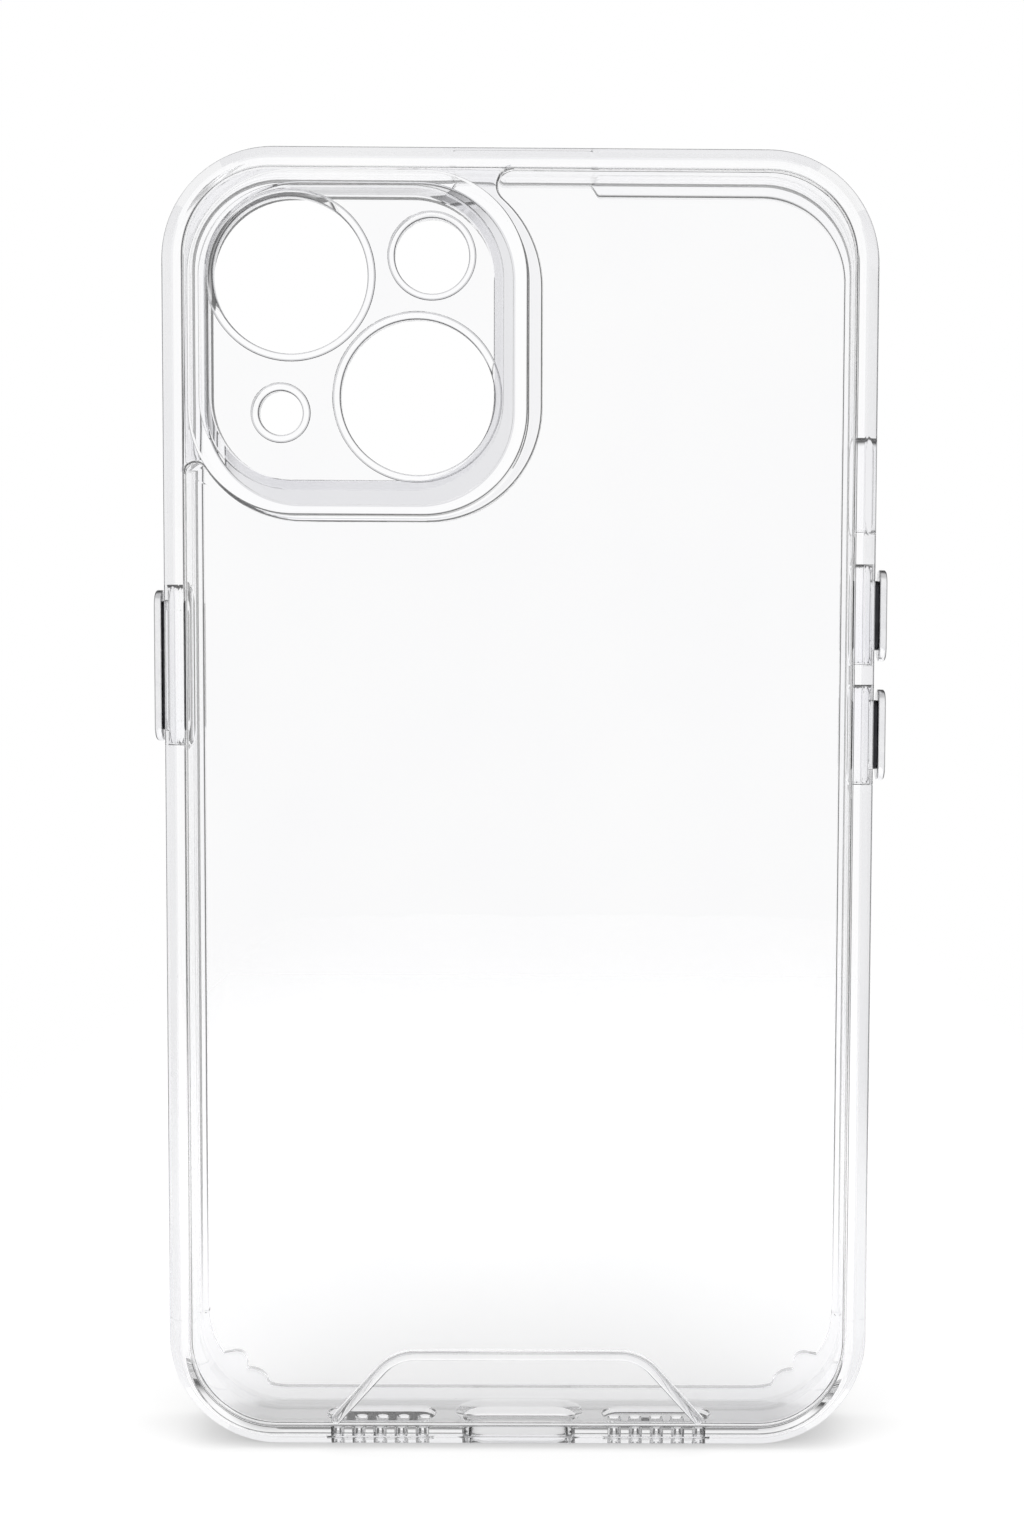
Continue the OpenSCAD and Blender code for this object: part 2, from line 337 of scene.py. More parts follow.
def frame_point(station, inset, depth):
    """Where a point of the profile is at a station. The lip reaches further in at the two ends of
    the case and at the ears, and less far at the notch."""
    x, z, nx, nz, notch, ear = station
    if depth > LIP_DEPTH - 0.35 and inset > WALL:
        share = (inset - WALL) / LIP_SIDE
        shift = (LIP_END - LIP_SIDE) * share * (1 - notch)
        z -= math.copysign(shift, nz) if abs(nz) > 1e-6 else 0
        inset = WALL + (inset - WALL) * (1 - NOTCH_CUT * notch) + ear * share
    reach = CASE_R - inset
    return (x + nx * reach, BACK_Y + depth, z + nz * reach)


def stadium_cutter(name, axis, centre, sections):
    """A tool for one slot: sections are (distance along the axis, length, width).
    The slot's length runs along Z in a side wall and along X in the bottom wall."""
    skin = Skin()
    loops = []
    for distance, length, width in sections:
        points = []
        for across, along in stadium_loop(length, width):
            if axis == "X":
                points.append((distance, centre[1] + across, centre[2] + along))
            else:
                points.append((centre[0] + along, centre[1] + across, distance))
        loops.append(points)
    made = skin.stack(loops)
    skin.cap(made[0])
    skin.cap(made[-1])
    return skin.finish(name)


# How far a tool stands outside the wall, and the angle at which a mouth's round leaves the wall,
# so that the tool cuts it and doesn't lie along it.
TOOL_REACH = 1.5
ROUND_START = 8


def slot_mouth(position, inward, length, width, radius, steps=5):
    """Sections of a slot's rounded mouth in a wall face, from outside to inside."""
    sections = [(position - inward * TOOL_REACH, length + 2 * radius, width + 2 * radius)]
    for k in range(steps + 1):
        a = math.radians(ROUND_START + (90 - ROUND_START) * k / steps)
        grow = 2 * radius * (1 - math.sin(a))
        sections.append((position + inward * radius * (1 - math.cos(a)), length + grow, width + grow))
    return sections


KEY_DEPTH = 5.65
KEY_W = 3.2
POCKET_T = 0.5
FOOT_POCKET = 1.3
RECESS_GROW = 1.4
RECESS_W = 4.4
VOLUME_RECESS_L = 26.6
# How much shorter and narrower than a key its neck's slot is, and how much larger its foot's pocket.
NECK_SLOT_TRIM = (2.2, 0.8)
FOOT_POCKET_GROW = 1.1
# Height, length and width of the ringer slot, and length and width of the port.
RINGER = (105.15, 10.4, 4.6)
PORT = (12.6, 5.4)
SPEAKER_X = 15.3
SPEAKER_DEPTH = 4.9
SPEAKER_PITCH = 2.34
SPEAKER_HOLE = (2.8, 1.5)
SPEAKER_PILL = (12, 3.9)


def key_of(name):
    """Side (+1 or -1), height and length of a key, from its cap's box."""
    low, high = box_mm(name + "_cap")
    side = 1 if low[0] + high[0] > 0 else -1
    return side, (low[2] + high[2]) / 2, high[2] - low[2]


def side_cutters():
    y = BACK_Y + KEY_DEPTH
    tools = []
    power = key_of("power_key")
    up = key_of("volume_up_key")
    down = key_of("volume_down_key")
    recesses = [(power[0], power[1], power[2] + RECESS_GROW),
                (up[0], (up[1] + down[1]) / 2, VOLUME_RECESS_L)]
    for side, z, length in recesses:
        face = side * HALF_W
        sections = slot_mouth(face, -side, length, RECESS_W, radius=0.25)
        sections.append((face - side * (POCKET_T - 0.15), length, RECESS_W))
        sections.append((face - side * (POCKET_T - 0.04), length - 0.1, RECESS_W - 0.1))
        sections.append((face - side * POCKET_T, length - 0.3, RECESS_W - 0.3))
        tools.append(stadium_cutter("recess", "X", (0, y, z), sections))
    for side, z, length in (power, up, down):
        face = side * (HALF_W - POCKET_T)
        neck_l = length - NECK_SLOT_TRIM[0]
        neck_w = KEY_W - NECK_SLOT_TRIM[1]
        foot_l = length + FOOT_POCKET_GROW
        foot_w = KEY_W + FOOT_POCKET_GROW
        sections = slot_mouth(face, -side, neck_l, neck_w, radius=0.12, steps=3)
        sections[0] = (face + side * 0.3, sections[0][1], sections[0][2])
        pocket = side * (HALF_W - FOOT_POCKET)
        sections += [(pocket, neck_l, neck_w), (pocket, foot_l, foot_w),
                     (side * (HALF_W - WALL - 1), foot_l, foot_w)]
        tools.append(stadium_cutter("key_slot", "X", (0, y, z), sections))
    z, length, width = RINGER
    sections = slot_mouth(HALF_W, -1, length, width, radius=0.45)
    inner = slot_mouth(HALF_W - WALL, 1, length, width, radius=0.3)
    sections += reversed(inner)
    tools.append(stadium_cutter("ringer", "X", (0, y, z), sections))
    return tools


def bottom_cutters():
    tools = []
    length, width = PORT
    sections = slot_mouth(0, 1, length, width, radius=0.4)
    sections += [(WALL - 0.6, length, width), (WALL - 0.35, length + 1.2, width + 1.0),
                 (WALL - 0.1, length + 1.6, width + 1.4), (WALL + 0.6, length + 1.7, width + 1.5)]
    tools.append(stadium_cutter("port", "Z", (0, BACK_Y + KEY_DEPTH, 0), sections))
    y = BACK_Y + SPEAKER_DEPTH
    for side in (-1, 1):
        length, width = SPEAKER_PILL
        sections = [(WALL - 0.7, length - 0.2, width - 0.2), (WALL - 0.6, length, width),
                    (WALL - 0.15, length, width), (WALL, length + 0.25, width + 0.25),
                    (WALL + 0.6, length + 0.5, width + 0.5)]
        tools.append(stadium_cutter("speaker", "Z", (side * SPEAKER_X, y, 0), sections))
    skin = Skin()
    for side in (-1, 1):
        for k in range(-2, 3):
            x = side * SPEAKER_X + k * SPEAKER_PITCH
            sections = slot_mouth(0, 1, *SPEAKER_HOLE, radius=0.15, steps=3)
            sections.append((WALL, *SPEAKER_HOLE))
            loops = [[(x + across, y + along, distance)
                      for across, along in stadium_loop(hole_l, hole_w, 8)]
                     for distance, hole_l, hole_w in sections]
            made = skin.stack(loops)
            skin.cap(made[0])
            skin.cap(made[-1])
    tools.append(skin.finish("speaker_holes"))
    return tools


# The slope round the frame's back ends, and the round to the outer wall starts, at this tilt.
LIMB_TILT = 58
# Where the slots are: range of depth, reach of the bottom slots from the middle of the case, and
# range of height of the side slots.
SLOT_DEPTH = (2, 8.8)
BOTTOM_SLOTS_X = 23
SIDE_SLOTS_Z = (60, 115)


def on_facet(depth, tilt, x, z):
    """Whether a face belongs to the slope round the outside of the frame's back."""
    beyond = BEAD_W - 0.4
    outside = max(abs(x) - HALF_W + beyond, abs(z - CASE_H / 2) - CASE_H / 2 + beyond) > 0
    return depth < ROUND_BACK and 20 < tilt < LIMB_TILT and outside


def on_limb(depth, tilt, x, z):
    """Whether a face belongs to the round between that slope and the outer wall."""
    return depth < ROUND_BACK and LIMB_TILT <= tilt < 89


def in_opening(depth, tilt, x, z):
    """Whether a face is a wall of a side slot or key pocket, or an end of a bottom slot."""
    if not SLOT_DEPTH[0] < depth < SLOT_DEPTH[1]:
        return False
    in_bottom = 0.02 < z < WALL - 0.7 and abs(x) < BOTTOM_SLOTS_X and 60 < tilt < 120
    in_wall = HALF_W - WALL + 0.02 < abs(x) < HALF_W - 0.02
    return in_bottom or (in_wall and SIDE_SLOTS_Z[0] < z < SIDE_SLOTS_Z[1])


def make_frame(material, band_painted_shade, painted_outline, eased):
    skin = Skin()
    stations = outline_stations()
    profile = frame_profile()
    rings = [skin.loop([frame_point(s, p.x, p.y) for s in stations]) for p in profile]
    for a, b in zip(rings, rings[1:] + rings[:1]):
        skin.bridge(a, b)
    made = skin.finish("clear_bumper_frame")
    cut(made, side_cutters() + bottom_cutters())
    smooth(made)
    place(made, material, ["bumper_frame"])
    # The slope round the outside of the frame's back gets a pale grey tint: a painted band of shade.
    shade_faces(made, band_painted_shade, on_facet)
    # The round at the frame's back edge gets a dark grey tint: a painted dark outline along the
    # silhouette.
    shade_faces(made, painted_outline, on_limb)
    shade_faces(made, eased, in_opening)


# ---------------------------------------------------------------- island outline

FOOT_AT = (-16.45, CASE_H - 21.2)
FOOT = (37.6, 36.9)
FOOT_R = 12.2
FOOT_RISE = 0.4
RIM_AT = (FOOT_AT[0] - 0.45, FOOT_AT[1])
RIM = (35.6, 35.8)
RIM_R = 11
RIM_RISE = 2.6
SHOULDER = 0.35
# Radii round the foot's outer edge, between the foot and the rim, and at the window's inner edge,
# and how far the rim's flat top eases into the slope.
FOOT_EDGE_R = 0.35
FOOT_FILLET = 0.3
INNER_ROUND = 0.2
MOUTH_EASE = 0.25
# The mouth is the rim's inner edge, and the window is the smaller opening at the lens plate. The
# slope runs from one to the other.
MOUTH_AT = (FOOT_AT[0] - 0.2, FOOT_AT[1] - 0.25)
MOUTH = (32.0, 33.1)
MOUTH_R = 9.8
WINDOW_AT = (FOOT_AT[0] - 1.15, FOOT_AT[1] + 0.6)
WINDOW = (29.8, 29.6)
WINDOW_R = 8.6
# How far the lens plate reaches past the window, into its seat.
PLATE_EDGE = 1.1
PLATE_RISE = 1.6
PLATE_T = 1.2
# Rounds at the ends of the gussets.
LEFT_END_R = 1.25
TOP_END_R = 1.8


def quarter(steps):
    """Sine and cosine at even steps over a quarter turn."""
    turns = [math.radians(90 * k / steps) for k in range(steps + 1)]
    return [(math.sin(a), math.cos(a)) for a in turns]


def arc(centre, radius, start, end, step=3.5):
    """Points on an arc from one angle to another."""
    count = max(2, round(abs(end - start) / step))
    return [(centre[0] + radius * math.cos(math.radians(start + (end - start) * i / count)),
             centre[1] + radius * math.sin(math.radians(start + (end - start) * i / count)))
            for i in range(count + 1)]


def angle_of(centre, point):
    return math.degrees(math.atan2(point[1] - centre[1], point[0] - centre[0])) % 360


def foot_corner(sx, sz):
    return (FOOT_AT[0] + sx * (FOOT[0] / 2 - FOOT_R), FOOT_AT[1] + sz * (FOOT[1] / 2 - FOOT_R))


def island_border():
    """The surround's edge against the panel, from the left gusset round to the top gusset. Each
    gusset ends in a round that touches the bead and the foot."""
    lower_left, lower_right, upper_right = foot_corner(-1, -1), foot_corner(1, -1), foot_corner(1, 1)
    reach = FOOT_R + LEFT_END_R
    x = -HALF_W + BEAD_W + LEFT_END_R
    left_end = (x, lower_left[1] - math.sqrt(reach ** 2 - (lower_left[0] - x) ** 2))
    reach = FOOT_R + TOP_END_R
    z = CASE_H - BEAD_W - TOP_END_R
    top_end = (upper_right[0] + math.sqrt(reach ** 2 - (z - upper_right[1]) ** 2), z)
    points = arc(left_end, LEFT_END_R, 180, angle_of(left_end, lower_left), 9)
    points += arc(lower_left, FOOT_R, angle_of(lower_left, left_end), 270)[1:]
    points += arc(lower_right, FOOT_R, -90, 0)
    points += arc(upper_right, FOOT_R, 0, angle_of(upper_right, top_end))
    points += arc(top_end, TOP_END_R, angle_of(top_end, upper_right), 90, 9)[1:]
    return points


def bead_edge(start_corner, end_corner):
    """The bead's inner edge round whole corners, numbered counter-clockwise from the top right."""
    points = []
    for k in range(start_corner, end_corner + 1):
        sx, sz = ((1, 1), (-1, 1), (-1, -1), (1, -1))[k % 4]
        centre = (sx * (HALF_W - CASE_R), CASE_H / 2 + sz * (CASE_H / 2 - CASE_R))
        points += arc(centre, CASE_R - BEAD_W, 90 * k, 90 * k + 90, 90 / CORNER_STEPS)
    return points


def surround_outline():
    return island_border() + bead_edge(1, 1)


def panel_outline():
    border = list(reversed(island_border()))
    return border + bead_edge(2, 4)


def edge_loops(outline, top, bottom, gap, radius, top_radius=None):
    """Loops down a plate's edge, a gap inside its outline, with a small radius at both faces."""
    upper = top_radius or radius
    levels = [(gap + upper * (1 - sin), top + upper * (1 - cos)) for sin, cos in quarter(4)]
    levels += [(gap + radius * (1 - cos), bottom - radius * (1 - sin)) for sin, cos in quarter(4)]
    return [at_depth(inset_loop(outline, inset), depth) for inset, depth in levels]


def make_panel(material):
    skin = Skin()
    made = skin.stack(edge_loops(panel_outline(), 0, PANEL_T, JOINT_GAP, HARD_EDGE_R))
    skin.fill([made[0]])
    skin.fill([made[-1]])
    made = skin.finish("clear_back_panel")
    smooth(made)
    place(made, material, ["back_panel"])


# ---------------------------------------------------------------- camera surround

def sized(at, size, radius, grow, depth):
    """A rounded rectangle grown all round, at a depth."""
    return at_depth(rounded_loop(at, (size[0] + 2 * grow, size[1] + 2 * grow), radius + grow), depth)


# The slope in the rim is steeper than this only in the mouth's corners.
STEEP_TILT = 32


def in_mouth(x, z, spare=0.3):
    """Whether a place is inside the mouth's rounded rectangle, with some to spare."""
    across = max(0, abs(x - MOUTH_AT[0]) - MOUTH[0] / 2 + MOUTH_R)
    along = max(0, abs(z - MOUTH_AT[1]) - MOUTH[1] / 2 + MOUTH_R)
    return math.hypot(across, along) < MOUTH_R + spare


def on_slope(depth, tilt, x, z):
    """Whether a face belongs to the slope from the rim down to the lens plate."""
    return -RIM_RISE < depth < -PLATE_RISE and 4 < tilt < STEEP_TILT and in_mouth(x, z)


def on_steep_slope(depth, tilt, x, z):
    """Whether a face belongs to the steep part of that slope, in a corner."""
    return -RIM_RISE + 0.1 < depth < -PLATE_RISE and tilt >= STEEP_TILT and in_mouth(x, z)


def in_seat(depth, tilt, x, z):
    """Whether a face meets the lens plate, under the mouth's edge."""
    return -PLATE_RISE - 0.05 < depth < PANEL_T - 0.3 and in_mouth(x, z, 1.5)


def on_foot(depth, tilt, x, z):
    """Whether a face belongs to the flat foot round the rim."""
    return abs(depth + FOOT_RISE) < 0.02 and tilt < 26


def rim_sections():
    """Loops over the rim: fillet, wall, shoulder, flat top, slope, the plate's seat, inner edge."""
    rim = [sized(RIM_AT, RIM, RIM_R, FOOT_FILLET * (1 - sin), -FOOT_RISE - FOOT_FILLET * (1 - cos))
           for sin, cos in quarter(4)]
    rim += [sized(RIM_AT, RIM, RIM_R, SHOULDER * (cos - 1), -RIM_RISE + SHOULDER * (1 - sin))
            for sin, cos in quarter(7)]
    for k in range(5):
        t = k / 4
        rim.append(sized(MOUTH_AT, MOUTH, MOUTH_R, MOUTH_EASE * (1 - t) ** 2,
                         -RIM_RISE + MOUTH_EASE * t * t * 0.8))
    seat_top = -PLATE_RISE - JOINT_GAP
    seat_floor = -PLATE_RISE + PLATE_T + JOINT_GAP
    seat = PLATE_EDGE + JOINT_GAP
    # the slope ends in a small step above the seat
    levels = [(0.1, -PLATE_RISE - 0.12), (0, seat_top), (seat, seat_top), (seat, seat_floor),
              (0, seat_floor)]
    levels += [(INNER_ROUND * (1 - cos), PANEL_T - INNER_ROUND * (1 - sin)) for sin, cos in quarter(4)]
    return rim + [sized(WINDOW_AT, WINDOW, WINDOW_R, grow, depth) for grow, depth in levels]


def make_surround(material, shade, band_painted_shade, eased, bonded):
    skin = Skin()
    outer = skin.stack(edge_loops(surround_outline(), -FOOT_RISE, PANEL_T, JOINT_GAP,
                                  SOFT_EDGE_R, FOOT_EDGE_R))
    inner = skin.stack(rim_sections())
    skin.fill([outer[0], inner[0]])
    skin.fill([outer[-1], inner[-1]])
    made = skin.finish("clear_camera_surround")
    smooth(made)
    place(made, material, ["camera_surround"])
    # The slope from the rim to the lens plate gets a grey tint: painted shade in place of the grey
    # that refraction draws there.
    shade_faces(made, shade, on_slope)
    shade_faces(made, eased, on_steep_slope)
    shade_faces(made, bonded, in_seat)
    # The flat foot round the rim gets the same pale grey tint: painted shade.
    shade_faces(made, band_painted_shade, on_foot)


# ---------------------------------------------------------------- lens plate and bezels

# Centre of each opening, its radius, and the width of the ring round it.
UPPER_LENS = ((FOOT_AT[0] - 7.6, FOOT_AT[1] + 7.1), 8.1, 0.85)
LOWER_LENS = ((FOOT_AT[0] + 5.75, FOOT_AT[1] - 5.5), 8.1, 0.85)
FLASH = ((FOOT_AT[0] + 7.25, FOOT_AT[1] + 9.2), 3.9, 0.75)
MICROPHONE = ((FOOT_AT[0] - 8.65, FOOT_AT[1] - 7.2), 2.3, 0.85)
BEZEL_RIM = 0.2
BEZEL_DROP = 0.15


def on_plate_edge(depth, tilt, x, z):
    """Whether a face belongs to the lens plate's outer edge, which sits in the surround."""
    across = abs(x - WINDOW_AT[0]) - WINDOW[0] / 2
    along = abs(z - WINDOW_AT[1]) - WINDOW[1] / 2
    corner = math.hypot(max(0, across + WINDOW_R), max(0, along + WINDOW_R)) - WINDOW_R
    return tilt > 10 and max(across, along, corner) > PLATE_EDGE - 0.2


def make_plate(material, bonded):
    skin = Skin()
    outline = rounded_loop(WINDOW_AT, (WINDOW[0] + 2 * PLATE_EDGE, WINDOW[1] + 2 * PLATE_EDGE),
                           WINDOW_R + PLATE_EDGE)
    outer = skin.stack(edge_loops(outline, -PLATE_RISE, -PLATE_RISE + PLATE_T, 0, HARD_EDGE_R))
    tops = [outer[0]]
    bottoms = [outer[-1]]
    for centre, hole, bevel in (UPPER_LENS, LOWER_LENS, FLASH, MICROPHONE):
        steps = max(48, round(hole * 14))
        loops = [at_depth(circle_loop(centre, hole + bevel + JOINT_GAP, steps), -PLATE_RISE + depth)
                 for depth in (0, PLATE_T)]
        made = skin.stack(loops)
        tops.append(made[0])
        bottoms.append(made[-1])
    skin.fill(tops)
    skin.fill(bottoms)
    made = skin.finish("clear_lens_plate")
    smooth(made)
    place(made, material, ["lens_plate"])
    shade_faces(made, bonded, on_plate_edge)


def on_bezel_line(depth, tilt, x, z):
    """Whether a face is on the rim of a ring or on the round at its hole, and not on its bevel."""
    return tilt < 80 and not 8 < tilt < 20 and depth < -PLATE_RISE + PLATE_T / 2


def make_bezel(name, lens, material, painted_outline):
    centre, hole, bevel = lens
    outer = hole + bevel
    section = filleted([
        (hole, PLATE_T, 0.08),
        (outer, PLATE_T, 0.05),
        (outer, 0, 0.15),
        (outer - BEZEL_RIM, 0, 0.02),
        (hole, BEZEL_DROP, 0.2),
    ], step=15)
    skin = Skin()
    steps = max(64, round(hole * 18))
    rings = [skin.loop(at_depth(circle_loop(centre, p.x, steps), -PLATE_RISE + p.y)) for p in section]
    for a, b in zip(rings, rings[1:] + rings[:1]):
        skin.bridge(a, b)
    made = skin.finish("bevelled_" + name)
    smooth(made)
    place(made, material, [name])
    # The ring's rim and the round at its hole get a dark grey tint: a painted outline of shade round
    # the bright bevel.
    shade_faces(made, painted_outline, on_bezel_line)


# ---------------------------------------------------------------- rest rib

RIB_FOOT = (19.7, 3.4)
RIB_TOP_Z = 10.5
RIB_SLOPE = 48
RIB_BEND = 5
RIB_W = 1.15
RIB_RISE = 0.8
# Powers that make the rib's section fuller than an ellipse, across it and out from the panel.
RIB_FULLNESS = (0.8, 0.75)
# Share of half the rib's width at each section of its rounded ends.
RIB_END = (0.3, 0.6, 0.85, 0.97)


def make_rib(material):
    corner_x = RIB_FOOT[0] - (RIB_TOP_Z - RIB_FOOT[1]) / math.tan(math.radians(RIB_SLOPE))
    path = filleted([(-RIB_FOOT[0], RIB_FOOT[1], 0), (-corner_x, RIB_TOP_Z, RIB_BEND),
                     (corner_x, RIB_TOP_Z, RIB_BEND), (RIB_FOOT[0], RIB_FOOT[1], 0)],
                    closed=False, step=4)
    # cross-section as (across, height), from one foot over the top to the other
    section = []
    for k in range(17):
        a = math.radians(180 * k / 16)
        across = math.copysign(abs(math.cos(a)) ** RIB_FULLNESS[0], math.cos(a))
        section.append((RIB_W / 2 * across, RIB_RISE * math.sin(a) ** RIB_FULLNESS[1]))
    skin = Skin()
    rings = []
    count = len(path)

    def ring(point, along, t):
        """A section moved by a share t of half the width, and shrunk as on a rounded end."""
        normal = Vector((-along.y, along.x))
        shrink = math.sqrt(1 - t * t)
        shift = t * RIB_W / 2
        spots = []
        for across, height in section:
            x = point.x + normal.x * across * shrink + along.x * shift
            z = point.y + normal.y * across * shrink + along.y * shift
            spots.append((x, BACK_Y - JOINT_GAP - height * (0.25 + 0.75 * shrink), z))
        return skin.loop(spots)

    for i, point in enumerate(path):
        after = path[min(i + 1, count - 1)] - path[max(i - 1, 0)]
        along = after.normalized()
        if i == 0:
            rings += [ring(point, along, -t) for t in reversed(RIB_END)]
        rings.append(ring(point, along, 0))
        if i == count - 1:
            rings += [ring(point, along, t) for t in RIB_END]
    for a, b in zip(rings, rings[1:]):
        skin.bridge(a, b)
    skin.cap(rings[0])
    skin.cap(rings[-1])
    made = skin.finish("clear_bottom_rib")
    smooth(made, 50)
    place(made, material, ["bottom_rib"])


# ---------------------------------------------------------------- keys

KEY_GAP = 0.9
KEY_PLATE_T = 0.8
# Radii round a key's plate, under it and outside.
KEY_UNDER_R = 0.12
KEY_OUTER_R = 0.22
NECK_L = KEY_GAP + 0.35
NECK_TRIM = 2.4
TENON_TRIM = 4.4
TENON_W = 1.2
KEY_FOOT_T = 0.8
KEY_FOOT_GROW = 0.8
# Air between a foot and the outer face of its pocket.
KEY_FOOT_GAP = 0.05
# How much shorter and narrower the ends of a neck are than its middle.
NECK_EASE = -0.1


def stadium(distance, size, grow=0):
    """A section of a key: its distance from the middle of the case, its length and its width."""
    return distance, size[0] + grow, size[1] + grow


def key_sections(skin, side, z, sections):
    y = BACK_Y + KEY_DEPTH
    return skin.stack([[(distance * side, y + across, z + along)
                        for across, along in stadium_loop(length, width, 20)]
                       for distance, length, width in sections])


def key_piece(name, side, z, sections):
    """A solid of stadium-shaped sections, closed at both ends."""
    skin = Skin()
    made = key_sections(skin, side, z, sections)
    skin.cap(made[0])
    skin.cap(made[-1])
    return skin.finish(name)


def key_ring(name, side, z, sections):
    """A hollow piece whose sections run round its wall and back to the first one."""
    skin = Skin()
    made = key_sections(skin, side, z, sections)
    skin.bridge(made[-1], made[0])
    return skin.finish(name)


def make_key(key, metal, neck_painted_shade, clear):
    side, z, length = key_of(key)
    under = HALF_W + KEY_GAP
    top = under + KEY_PLATE_T
    size = (length, KEY_W)
    neck = (length - NECK_TRIM, KEY_W - 1)
    tenon = (length - TENON_TRIM, TENON_W)
    sections = [stadium(under, neck, NECK_EASE)]
    sections += [stadium(under + KEY_UNDER_R * (1 - cos), size, -2 * KEY_UNDER_R * (1 - sin))
                 for sin, cos in quarter(3)]
    sections += [stadium(top - KEY_OUTER_R * (1 - sin), size, -2 * KEY_OUTER_R * (1 - cos))
                 for sin, cos in quarter(5)]
    plate = key_piece(key + "_plated_cap", side, z, sections)
    smooth(plate)
    place(plate, metal, [key + "_cap"], key)
    # the hollow neck runs down inside, next to the tenon, and back up outside
    start = under - JOINT_GAP / 2
    end = under - NECK_L
    sections = [stadium(start, tenon, 2 * JOINT_GAP), stadium(end, tenon, 2 * JOINT_GAP),
                stadium(end, neck, NECK_EASE), stadium(end + 0.08, neck),
                stadium(under - 0.06, neck), stadium(start, neck, NECK_EASE)]
    neck_piece = key_ring(key + "_neck", side, z, sections)
    smooth(neck_piece)
    # The neck's near-black colour is painted shade: the dark of the narrow gap between the plate and
    # the wall.
    place(neck_piece, neck_painted_shade, [key + "_cap"], key)
    # the carrier is a foot with eased edges, and a tenon out to just under the plate
    foot_out = HALF_W - FOOT_POCKET - KEY_FOOT_GAP
    foot_in = foot_out - KEY_FOOT_T
    foot = (length + KEY_FOOT_GROW, KEY_W + KEY_FOOT_GROW)
    sections = [stadium(foot_in, foot, -0.3), stadium(foot_in + 0.04, foot, -0.1),
                stadium(foot_in + 0.15, foot), stadium(foot_out - 0.1, foot),
                stadium(foot_out, foot, -0.2), stadium(foot_out, tenon),
                stadium(under - 0.03, tenon)]
    carrier = key_piece(key + "_clear_carrier", side, z, sections)
    smooth(carrier)
    place(carrier, clear, [key + "_carrier"], key)


# ---------------------------------------------------------------- materials

def node_tree(owner):
    owner.use_nodes = True
    owner.node_tree.nodes.clear()
    return owner.node_tree


def noise_between(tree, scale, detail, low, high):
    """A fine three-dimensional noise, mapped between two values."""
    nodes, links = tree.nodes, tree.links
    coord = nodes.new("ShaderNodeTexCoord")
    noise = nodes.new("ShaderNodeTexNoise")
    noise.inputs["Scale"].default_value = scale
    noise.inputs["Detail"].default_value = detail
    span = nodes.new("ShaderNodeMapRange")
    span.inputs["From Min"].default_value = 0.3
    span.inputs["From Max"].default_value = 0.7
    span.inputs["To Min"].default_value = low
    span.inputs["To Max"].default_value = high
    links.new(coord.outputs["Object"], noise.inputs["Vector"])
    links.new(noise.outputs["Fac"], span.inputs["Value"])
    return span.outputs["Result"]


def add_bump(tree, shader, height, strength, distance):
    bump = tree.nodes.new("ShaderNodeBump")
    bump.inputs["Strength"].default_value = strength
    bump.inputs["Distance"].default_value = distance * MM
    tree.links.new(height, bump.inputs["Height"])
    tree.links.new(bump.outputs["Normal"], shader.inputs["Normal"])


# The clear plastics. Each has the two tints that it drifts between, its index of refraction, the
# range of its roughness, the share of light that its shadow lets through, and the depth of its
# waves. Eased and bonded are for faces whose refraction would draw dark lines that a moulded or
# bonded part doesn't show. The grey tints of the slope, outline and band plastics are painted
# shade, standing in for the greys and dark lines that refraction draws on those faces.
POLISHED = (0.004, 0.016)
HONED = (0.02, 0.04)
CLEAR = {
    "clear_hard": (((0.975, 0.975, 0.978), (0.96, 0.96, 0.968)), 1.56, POLISHED, 0.95, 0.0015),
    "clear_soft": (((1, 1, 1), (0.98, 0.98, 0.992)), 1.5, (0.008, 0.022), 0.68, 0.002),
    "clear_eased": (((1, 1, 1), (0.97, 0.97, 0.985)), 1.1, (0.02, 0.05), 0.68, 0.002),
    "clear_bonded": (((1, 1, 1), (0.99, 0.99, 0.995)), 1.06, POLISHED, 0.9, 0.001),
    # grey tint: painted shade on the slope from the rim down to the lens plate
    "clear_soft_slope_painted_shade": (((0.67, 0.67, 0.695), (0.62, 0.62, 0.65)), 1.5, (0.03, 0.06), 0.8, 0.002),
    # dark grey tint: a painted outline of shade on the frame's back edge and round the rings
    "clear_painted_outline_shade": (((0.5, 0.5, 0.52), (0.46, 0.46, 0.48)), 1.5, HONED, 0.8, 0.002),
    # pale grey tint: a painted band of shade on the frame's outer slope and on the foot
    "clear_soft_band_painted_shade": (((0.84, 0.84, 0.86), (0.8, 0.8, 0.825)), 1.5, HONED, 0.8, 0.002),
    "clear_bevel": (((1, 1, 1), (0.985, 0.985, 0.995)), 1.56, POLISHED, 0.9, 0.001),
}


